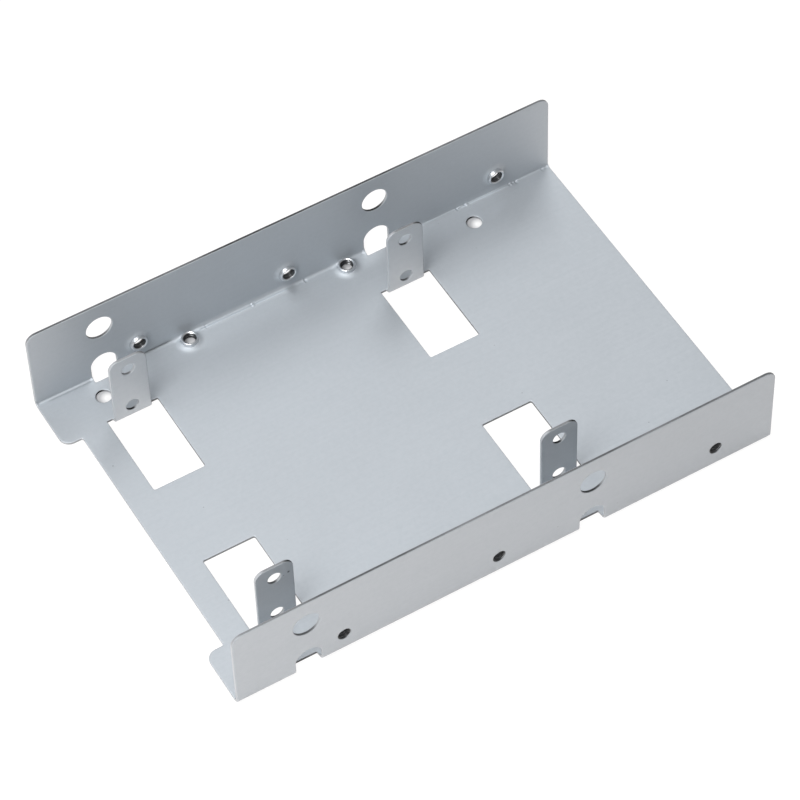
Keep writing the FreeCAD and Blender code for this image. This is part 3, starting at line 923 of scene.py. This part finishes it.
def collarTree():
    tree = bpy.data.node_groups.new("tappedCollars", "GeometryNodeTree")
    socket = tree.interface.new_socket
    socket("Places", in_out="INPUT", socket_type="NodeSocketGeometry")
    for name in ("Bore", "Thread Diameter", "Thread Pitch"):
        socket(name, in_out="INPUT", socket_type="NodeSocketFloat")
    for name in ("Around", "Along", "Seed"):
        socket(name, in_out="INPUT", socket_type="NodeSocketInt")
    socket("Finish", in_out="INPUT", socket_type="NodeSocketMaterial")
    socket("Collars", in_out="OUTPUT", socket_type="NodeSocketGeometry")
    given = addNode(tree, "NodeGroupInput").outputs
    ring = threadedRing(tree, given)
    # each stands up from its face, and its thread starts at a place of its own
    axis = addNode(tree, "GeometryNodeInputNamedAttribute", data_type="FLOAT_VECTOR",
                   inputs={"Name": "axis"})
    upright = linked(tree, "FunctionNodeAlignRotationToVector", None, 1.0, axis.outputs[0],
                     axis="Z")
    twist = addNode(tree, "FunctionNodeRandomValue", data_type="FLOAT",
                    inputs={2: 0.0, 3: 2 * math.pi})
    tree.links.new(given["Seed"], twist.inputs["Seed"])
    spin = linked(tree, "FunctionNodeAxisAngleToRotation", (0.0, 0.0, 1.0), twist.outputs[1])
    turned = linked(tree, "FunctionNodeRotateRotation", upright.outputs[0], spin.outputs[0],
                    rotation_space="LOCAL")
    placed = addNode(tree, "GeometryNodeInstanceOnPoints")
    tree.links.new(given["Places"], placed.inputs["Points"])
    tree.links.new(ring, placed.inputs["Instance"])
    tree.links.new(turned.outputs[0], placed.inputs["Rotation"])
    real = linked(tree, "GeometryNodeRealizeInstances", placed.outputs[0])
    smooth = linked(tree, "GeometryNodeSetShadeSmooth", real.outputs[0])
    finish = linked(tree, "GeometryNodeSetMaterial", smooth.outputs[0])
    tree.links.new(given["Finish"], finish.inputs["Material"])
    out = addNode(tree, "NodeGroupOutput")
    tree.links.new(finish.outputs[0], out.inputs["Collars"])
    return tree


def collarPlaces():
    # Middles of the tapped holes on the inner faces, and the way each collar stands
    places, axes = [], []
    for side in (-1, 1):
        for x in sheetSizes["wallTapped"]:
            places.append((x, side * wallInner, sheetSizes["wallTappedRise"]))
            axes.append((0, -side, 0))
        for x in sheetSizes["floorTapped"]:
            places.append((x, side * sheetSizes["floorTappedRow"], sheetSizes["gauge"]))
            axes.append((0, 0, 1))
    return places, axes


def plainCopy(name, holder):
    # The evaluated shape of an object as a mesh with no modifiers
    evaluated = holder.evaluated_get(bpy.context.evaluated_depsgraph_get())
    shape = bpy.data.meshes.new_from_object(evaluated)
    shape.name = name
    made = bpy.data.objects.new(name, shape)
    bpy.context.scene.collection.objects.link(made)
    bpy.data.objects.remove(holder)
    return made


def tuckIntoFold(mesh):
    # The floor collars meet the fold, so their outer feet stay inside the bent sheet
    places = np.empty(len(mesh.vertices) * 3)
    mesh.vertices.foreach_get("co", places)
    places = places.reshape(-1, 3) / mm
    radius = sheetSizes["middleBend"]
    startY, startZ = wallInner - radius, sheetSizes["gauge"] + radius
    arm = np.stack([np.abs(places[:, 1]) - startY, places[:, 2] - startZ], axis=-1)
    length = np.linalg.norm(arm, axis=1)
    outside = (arm[:, 0] > 0) & (arm[:, 1] < 0) & (length > radius + halfGauge)
    arm[outside] *= ((radius + halfGauge) / length[outside])[:, None]
    places[:, 1] = np.where(outside, (startY + arm[:, 0]) * np.sign(places[:, 1]), places[:, 1])
    places[:, 2] = np.where(outside, startZ + arm[:, 1], places[:, 2])
    mesh.vertices.foreach_set("co", (places * mm).ravel())
    mesh.update()


def buildCollars(finish):
    places, axes = collarPlaces()
    mesh = bpy.data.meshes.new("collarPlaces")
    mesh.from_pydata([tuple(c * mm for c in place) for place in places], [], [])
    layer = mesh.attributes.new("axis", "FLOAT_VECTOR", "POINT")
    layer.data.foreach_set("vector", np.array(axes, np.float32).ravel())
    holder = bpy.data.objects.new("collarPlaces", mesh)
    bpy.context.scene.collection.objects.link(holder)
    modifier = holder.modifiers.new("collars", "NODES")
    modifier.node_group = collarTree()
    values = {
        "Bore": collarSizes["bore"] * mm,
        "Thread Diameter": collarSizes["threadDiameter"] * mm,
        "Thread Pitch": collarSizes["threadPitch"] * mm,
        "Around": collarSizes["netAround"] + 1,
        "Along": collarSizes["netAlong"] + 1,
        "Seed": collarSizes["seed"],
        "Finish": finish,
    }
    for item in modifier.node_group.interface.items_tree:
        if item.in_out == "INPUT" and item.name in values:
            modifier[item.identifier] = values[item.name]
    collars = plainCopy("tappedCollars", holder)
    tuckIntoFold(collars.data)
    return collars


# Zinc finish
zincLook = {
    "colour": (0.485, 0.516, 0.544, 1.0),
    "cutColour": (0.45, 0.465, 0.48, 1.0),
    "roughness": 0.72,
    "collarColour": (0.64, 0.66, 0.68, 1.0),
    "collarRoughness": 0.33,
    "borePaintedShade": 0.88,  # how much darker the thread inside the bore is painted, as shade
    # dark specks on the sheet: place and radius
    "specks": (
        ((-50.3, -35.95, 18.1), 0.36), ((-51.6, -35.95, 17.6), 0.14),
        ((-65.7, 23.8, 0.8), 0.16),
    ),
    "speckReach": (0.5, 1.2),
    "speckTone": 0.35,
    "dust": 0.11,
    "dustReach": (0.012, 0.022),
    # scale, detail and roughness of each noise
    "cloud": (0.045, 3.0, 0.5),
    "mottle": (0.9, 4.0, 0.6),
    "streak": (1.4, 3.0, 0.5),
    "grain": (6.5, 2.0, 0.6),
    "tears": (2.2, 3.0, 0.7),
    "worn": (0.035, 1.0, 0.5),
    "streakStretch": (0.02, 1.0, 1.0),
    "tearStretch": (0.25, 1.0, 1.0),
    # from which to which noise, and the tone there
    "tearTones": (0.3, 0.7, 0.85, 1.1),
    "wornTones": (0.35, 0.62, 0.6, 1.1),
    "darkest": 0.08,
    "streakDullness": 0.6,
    "grainDullness": 0.18,
    "cutDullness": 0.1,
    "bump": 0.5,
    "bumpDepth": 0.004,
}


def newGroup(name, inputs, outputs):
    tree = bpy.data.node_groups.new(name, "ShaderNodeTree")
    for title, kind, value in inputs:
        made = tree.interface.new_socket(title, in_out="INPUT", socket_type="NodeSocket" + kind)
        made.default_value = value
    for title, kind in outputs:
        tree.interface.new_socket(title, in_out="OUTPUT", socket_type="NodeSocket" + kind)
    return tree, addNode(tree, "NodeGroupInput").outputs, addNode(tree, "NodeGroupOutput").inputs


def noiseAt(tree, place, scale, detail, rough):
    node = linked(tree, "ShaderNodeTexNoise", place)
    node.inputs["Scale"].default_value = scale
    node.inputs["Detail"].default_value = detail
    node.inputs["Roughness"].default_value = rough
    return node.outputs["Fac"]


def millimetres(tree, stretch=(1.0, 1.0, 1.0)):
    # Object coordinates in millimetres, drawn out where a number is below 1
    place = addNode(tree, "ShaderNodeTexCoord").outputs["Object"]
    scale = tuple(1000.0 * share for share in stretch)
    return linked(tree, "ShaderNodeMapping", place, inputs={"Scale": scale}).outputs[0]


def zincGrainGroup():
    z = zincLook
    tree, given, out = newGroup(
        "zincGrain",
        (("Cloud", "Float", 0.05), ("Mottle", "Float", 0.04),
         ("Streak", "Float", 0.03), ("Speck", "Float", 0.3)),
        (("Tone", "Float"), ("Dullness", "Float"), ("Height", "Float")),
    )
    place = millimetres(tree)
    cloud = maths(tree, "SUBTRACT", noiseAt(tree, place, *z["cloud"]), 0.5)
    mottle = maths(tree, "SUBTRACT", noiseAt(tree, place, *z["mottle"]), 0.5)
    along = millimetres(tree, z["streakStretch"])
    streak = maths(tree, "SUBTRACT", noiseAt(tree, along, *z["streak"]), 0.5)
    tone = maths(tree, "MULTIPLY_ADD", cloud, given["Cloud"], 1.0)
    tone = maths(tree, "MULTIPLY_ADD", mottle, given["Mottle"], tone)
    tone = maths(tree, "MULTIPLY_ADD", streak, given["Streak"], tone)
    dust = linked(tree, "ShaderNodeTexVoronoi", place, inputs={"Scale": z["dust"]})
    speck = linked(tree, "ShaderNodeMapRange", dust.outputs["Distance"], *z["dustReach"], 1.0, 0.0)
    speck = maths(tree, "MULTIPLY", speck.outputs[0], given["Speck"])
    tone = maths(tree, "MULTIPLY", tone, maths(tree, "SUBTRACT", 1.0, speck))
    for spot, radius in z["specks"]:
        away = linked(tree, "ShaderNodeVectorMath", place, spot, operation="DISTANCE")
        near, far = (radius * share for share in z["speckReach"])
        speck = linked(tree, "ShaderNodeMapRange", away.outputs["Value"], near, far,
                       z["speckTone"], 1.0)
        tone = maths(tree, "MULTIPLY", tone, speck.outputs[0])
    dull = maths(tree, "ADD", mottle, maths(tree, "MULTIPLY", streak, z["streakDullness"]))
    tree.links.new(tone, out["Tone"])
    tree.links.new(dull, out["Dullness"])
    tree.links.new(noiseAt(tree, place, *z["grain"]), out["Height"])
    return tree


def cutEdgeGroup():
    # Sheared edges: dark and torn in the middle, with painted shade set by the way each edge looks
    # and a painted highlight where it looks along -X. The same darkness carries the painted shade
    # of the creases and the painted highlight of the ridges.
    z = zincLook
    tree, given, out = newGroup(
        "cutEdge",
        (("Dark", "Float", 0.72), ("Painted Highlight", "Float", 0.25)),
        (("Share", "Float"), ("Tone", "Float")),
    )
    share, dark, left = (
        addNode(tree, "ShaderNodeAttribute", attribute_name=name).outputs["Fac"]
        for name in ("cutEdge", "cutDarkAndPaintedLight", "paintedLeftHighlight")
    )
    tears = noiseAt(tree, millimetres(tree, z["tearStretch"]), *z["tears"])
    tears = linked(tree, "ShaderNodeMapRange", tears, *z["tearTones"]).outputs[0]
    worn = noiseAt(tree, millimetres(tree), *z["worn"])
    worn = linked(tree, "ShaderNodeMapRange", worn, *z["wornTones"]).outputs[0]
    dark = maths(tree, "MULTIPLY", maths(tree, "MULTIPLY", dark, given["Dark"]), tears)
    dark = maths(tree, "MULTIPLY", dark, worn)
    tone = maths(tree, "SUBTRACT", 1.0, dark)
    # painted highlight on edges that look along -X
    tone = maths(tree, "MULTIPLY_ADD", left, given["Painted Highlight"], tone)
    tree.links.new(share, out["Share"])
    tree.links.new(maths(tree, "MAXIMUM", tone, z["darkest"]), out["Tone"])
    return tree


def makeZinc(name, grainGroup, edgeGroup, colour, roughness):
    material = bpy.data.materials.new(name)
    material.use_nodes = True
    tree = material.node_tree
    shader = tree.nodes["Principled BSDF"]
    shader.inputs["Metallic"].default_value = 1.0
    grain = addNode(tree, "ShaderNodeGroup", node_tree=grainGroup)
    edge = addNode(tree, "ShaderNodeGroup", node_tree=edgeGroup)
    toned = linked(tree, "ShaderNodeMix", data_type="RGBA", blend_type="MIX")
    tree.links.new(edge.outputs["Share"], toned.inputs["Factor"])
    toned.inputs[6].default_value = colour
    toned.inputs[7].default_value = zincLook["cutColour"]
    # painted shade inside the collars' bores
    bored = addNode(tree, "ShaderNodeAttribute", attribute_name="bored").outputs["Fac"]
    bored = maths(tree, "MULTIPLY_ADD", bored, -zincLook["borePaintedShade"], 1.0)
    tone = maths(tree, "MULTIPLY", edge.outputs["Tone"], bored)
    tone = maths(tree, "MULTIPLY", grain.outputs["Tone"], tone)
    shaded = linked(tree, "ShaderNodeVectorMath", toned.outputs[2], operation="SCALE")
    tree.links.new(tone, shaded.inputs["Scale"])
    tree.links.new(shaded.outputs[0], shader.inputs["Base Color"])
    z = zincLook
    dull = maths(tree, "MULTIPLY_ADD", grain.outputs["Dullness"], z["grainDullness"], roughness)
    dull = maths(tree, "MULTIPLY_ADD", edge.outputs["Share"], z["cutDullness"], dull)
    tree.links.new(dull, shader.inputs["Roughness"])
    bump = addNode(tree, "ShaderNodeBump", inputs={
        "Strength": z["bump"], "Distance": z["bumpDepth"] * mm})
    tree.links.new(grain.outputs["Height"], bump.inputs["Height"])
    tree.links.new(bump.outputs[0], shader.inputs["Normal"])
    return material


zincGrain, cutEdge = zincGrainGroup(), cutEdgeGroup()
brightZinc = makeZinc("brightZinc", zincGrain, cutEdge, zincLook["colour"], zincLook["roughness"])
drawnZinc = makeZinc("drawnZinc", zincGrain, cutEdge,
                     zincLook["collarColour"], zincLook["collarRoughness"])
foldedSheet.data.materials.append(brightZinc)
print("zinc is mixed")

tappedCollars = buildCollars(drawnZinc)
print("tapped collars:", len(tappedCollars.data.polygons), "faces")
for piece in (foldedSheet, tappedCollars):
    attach(piece, "root")
    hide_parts("bracket")
